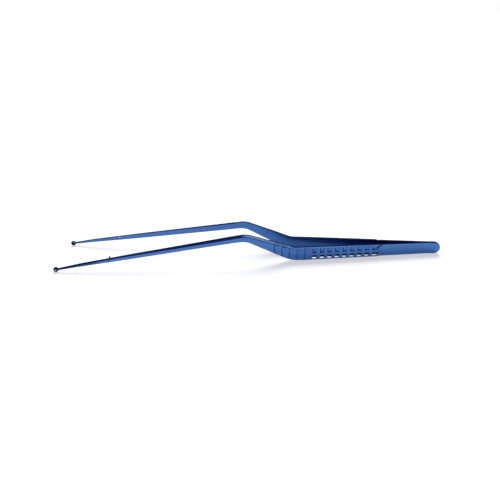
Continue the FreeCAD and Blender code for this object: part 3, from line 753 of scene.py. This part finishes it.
def blued_steel():
    """Dark blued steel of the turned pin, with faint turning marks in its colour and roughness."""
    dark = bpy.context.scene.forceps_finish.pin
    pale = [min(1.0, PIN_PALE * value) for value in dark]
    material, tree, shader = new_finish("pin_metal", 1.0)
    where = node(tree, "ShaderNodeTexCoord", (-1000, 0)).outputs["Object"]
    turned = noise(tree, (-600, 0), where, TURNED_SCALE)
    colour = mixed(tree, (-300, 200), turned, (*dark, 1), (*pale, 1))
    feed(tree, shader.inputs["Base Color"], colour)
    feed(tree, shader.inputs["Roughness"], ranged(tree, (-300, -100), turned, target=PIN_ROUGHNESS))
    return material


def pale_floor(colour):
    """Matt floor that adds a glow of its own where the camera or a mirror ray meets it."""
    material, tree, shader = new_finish("pale_floor", 0.0)
    shader.inputs["Base Color"].default_value = (*colour, 1)
    shader.inputs["Roughness"].default_value = 0.9
    shader.inputs["Specular IOR Level"].default_value = 0.0
    ray = node(tree, "ShaderNodeLightPath", (-600, -300)).outputs
    mirrored = worked(tree, (-400, -300), "MULTIPLY", ray["Is Glossy Ray"], FLOOR_GLOW_MIRRORED)
    glow = worked(tree, (-200, -300), "MULTIPLY_ADD", ray["Is Camera Ray"], FLOOR_GLOW, mirrored)
    shader.inputs["Emission Color"].default_value = (1, 1, 1, 1)
    feed(tree, shader.inputs["Emission Strength"], glow)
    return material


def lit_sky():
    """A dark sky with a pale screen and a pale spot, and plain white for the camera. The screen
    is the product of three smooth ramps over a direction's parts, the spot a smooth ramp over the
    cosine of the angle to its aim, and their sum mixes the dark and the pale colour."""
    world = bpy.data.worlds.new("sky")
    world.use_nodes = True
    tree = world.node_tree
    where = node(tree, "ShaderNodeTexCoord", (-1200, 0)).outputs["Generated"]
    parts = node(tree, "ShaderNodeSeparateXYZ", (-1000, 0))
    feed(tree, parts.inputs["Vector"], where)
    behind, low, left = (
        ranged(tree, (-800, 100 - 300 * i), parts.outputs[axis], limits, kind="SMOOTHSTEP")
        for i, (axis, limits) in enumerate(
            (("Y", SCREEN_BEHIND), ("Z", SCREEN_LOW), ("X", SCREEN_LEFT))))
    strip = worked(tree, (-700, 0), "MULTIPLY", behind, low)
    screen = worked(tree, (-650, 0), "MULTIPLY", strip, left)
    aim = node(tree, "ShaderNodeVectorMath", (-800, -800), operation="DOT_PRODUCT")
    aim.inputs[1].default_value = SPOT_AIM
    feed(tree, aim.inputs[0], where)
    limits = [math.cos(math.radians(angle)) for angle in SPOT_EDGE]
    spot = ranged(tree, (-600, -800), aim.outputs["Value"], limits, kind="SMOOTHSTEP")
    lit = worked(tree, (-550, 0), "ADD", screen, spot)
    sky = mixed(tree, (-450, 0), lit, SKY_DARK, SKY_PALE)
    seen = node(tree, "ShaderNodeLightPath", (-600, 300)).outputs["Is Camera Ray"]
    background = tree.nodes["Background"]
    feed(tree, background.inputs["Color"], mixed(tree, (-300, 0), seen, sky, (1, 1, 1, 1)))
    background.inputs["Strength"].default_value = 1.0
    return world


def overhead_sun(strength):
    """A wide soft sun above the forceps that leaves no glint of its own."""
    sun = bpy.data.lights.new("overhead", "SUN")
    sun.energy = strength
    sun.angle = math.radians(SUN_ANGLE)
    lamp = bpy.data.objects.new("overhead", sun)
    lamp.rotation_euler = Euler([math.radians(angle) for angle in SUN_TURN])
    lamp.visible_glossy = False
    return lamp


def set_camera(focal_length):
    """The camera in front of the forceps, which looks down on it."""
    camera = bpy.data.cameras.new("camera")
    camera.lens = focal_length
    camera.sensor_width = 36
    camera.clip_start = 0.005
    camera.clip_end = 50
    holder = bpy.data.objects.new("camera", camera)
    holder.location = CAMERA_PLACE * MM
    holder.rotation_euler = Euler((math.radians(90 - CAMERA_DOWN), 0, math.radians(CAMERA_TURN)))
    return holder


def dressed(piece, material):
    """Give a piece its one material."""
    piece.data.materials.clear()
    piece.data.materials.append(material)


class FORCEPS_OT_arms(bpy.types.Operator):
    """Make the two arms, each one piece from welded butt to holed cup"""

    bl_idname = "forceps.make_arms"
    bl_label = "Make Arms"

    def execute(self, context):
        shape = context.scene.forceps_shape
        material = anodised_blue()
        for name, side, body in (("left_blade", -1, "left_side"), ("right_blade", 1, "right_side")):
            blade = arm_piece(name, side, shape.edge_round / MM, shape.inner_round / MM)
            outward(blade)
            if side > 0:
                cut(blade, cross_hole(side))
            cut(blade, corner_notch(side))
            cup = cup_piece(name + "_cup", side)
            outward(cup)
            blade = joined(name, [blade, cup])
            smooth(blade, BLADE_CREASE)
            dressed(blade, material)
            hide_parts("left_arm" if side < 0 else "right_arm")
            if side > 0:
                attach(blade, body)
            else:
                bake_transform(blade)
        return {"FINISHED"}


class FORCEPS_OT_pin(bpy.types.Operator):
    """Make the guide pin pressed through the left arm"""

    bl_idname = "forceps.make_pin"
    bl_label = "Make Guide Pin"

    def execute(self, context):
        reach = context.scene.forceps_shape.pin_reach / MM
        profile = [(POLE, PIN_SEAT), (PIN_SEAT_RADIUS, PIN_SEAT), (PIN_RADIUS, PIN_SEAT - PIN_EDGE),
                   (PIN_RADIUS, PIN_TAPER - reach), (PIN_RADIUS - PIN_EDGE, PIN_CHAMFER - reach),
                   (PIN_NOSE_RADIUS, -reach), (POLE, -reach)]
        pin = lathe("guide_pin_turned", profile, (PIN_AT, PIN_HEIGHT), -1, PIN_STEPS)
        outward(pin)
        smooth(pin, PIN_CREASE)
        dressed(pin, blued_steel())
        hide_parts("guide_pin")
        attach(pin, "left_side")
        return {"FINISHED"}


class FORCEPS_OT_stage(bpy.types.Operator):
    """Make the floor, the light, the sky and the camera"""

    bl_idname = "forceps.make_stage"
    bl_label = "Make Stage"

    def execute(self, context):
        scene = context.scene
        stage = scene.forceps_stage
        corners = np.array([[-1, -1, 0], [1, -1, 0], [1, 1, 0], [-1, 1, 0]]) * FLOOR_REACH
        floor = new_piece("floor", corners, [[0, 1, 2, 3]])
        floor.data.materials.append(pale_floor(stage.floor_colour))
        scene.collection.objects.link(overhead_sun(stage.lamp_strength))
        scene.world = lit_sky()
        scene.camera = set_camera(stage.focal_length)
        scene.collection.objects.link(scene.camera)
        scene.view_settings.view_transform = "Standard"
        return {"FINISHED"}


class FORCEPS_PT_panel(bpy.types.Panel):
    """Lists the sizes, colours and steps of the forceps"""

    bl_idname = "FORCEPS_PT_panel"
    bl_label = "Bayonet Forceps"
    bl_space_type = "VIEW_3D"
    bl_region_type = "UI"
    bl_category = "Forceps"

    def draw(self, context):
        scene = context.scene
        for group in (scene.forceps_shape, scene.forceps_finish, scene.forceps_stage):
            for key in group.__annotations__:
                self.layout.prop(group, key)
        for operator in STEPS:
            self.layout.operator(operator.bl_idname)


STEPS = (FORCEPS_OT_arms, FORCEPS_OT_pin, FORCEPS_OT_stage)
GROUPS = (FORCEPS_PG_shape, FORCEPS_PG_finish, FORCEPS_PG_stage)


def register():
    """Register the classes and hang the property groups on the scene."""
    for item in GROUPS + STEPS + (FORCEPS_PT_panel,):
        bpy.utils.register_class(item)
    bpy.types.Scene.forceps_shape = bpy.props.PointerProperty(type=FORCEPS_PG_shape)
    bpy.types.Scene.forceps_finish = bpy.props.PointerProperty(type=FORCEPS_PG_finish)
    bpy.types.Scene.forceps_stage = bpy.props.PointerProperty(type=FORCEPS_PG_stage)


def unregister():
    """Take everything off again."""
    for name in ("forceps_shape", "forceps_finish", "forceps_stage"):
        delattr(bpy.types.Scene, name)
    for item in reversed(GROUPS + STEPS + (FORCEPS_PT_panel,)):
        bpy.utils.unregister_class(item)


def main():
    """Make the whole scene."""
    register()
    bpy.ops.forceps.make_arms()
    bpy.ops.forceps.make_pin()
    bpy.ops.forceps.make_stage()


if __name__ == "__main__":
    main()
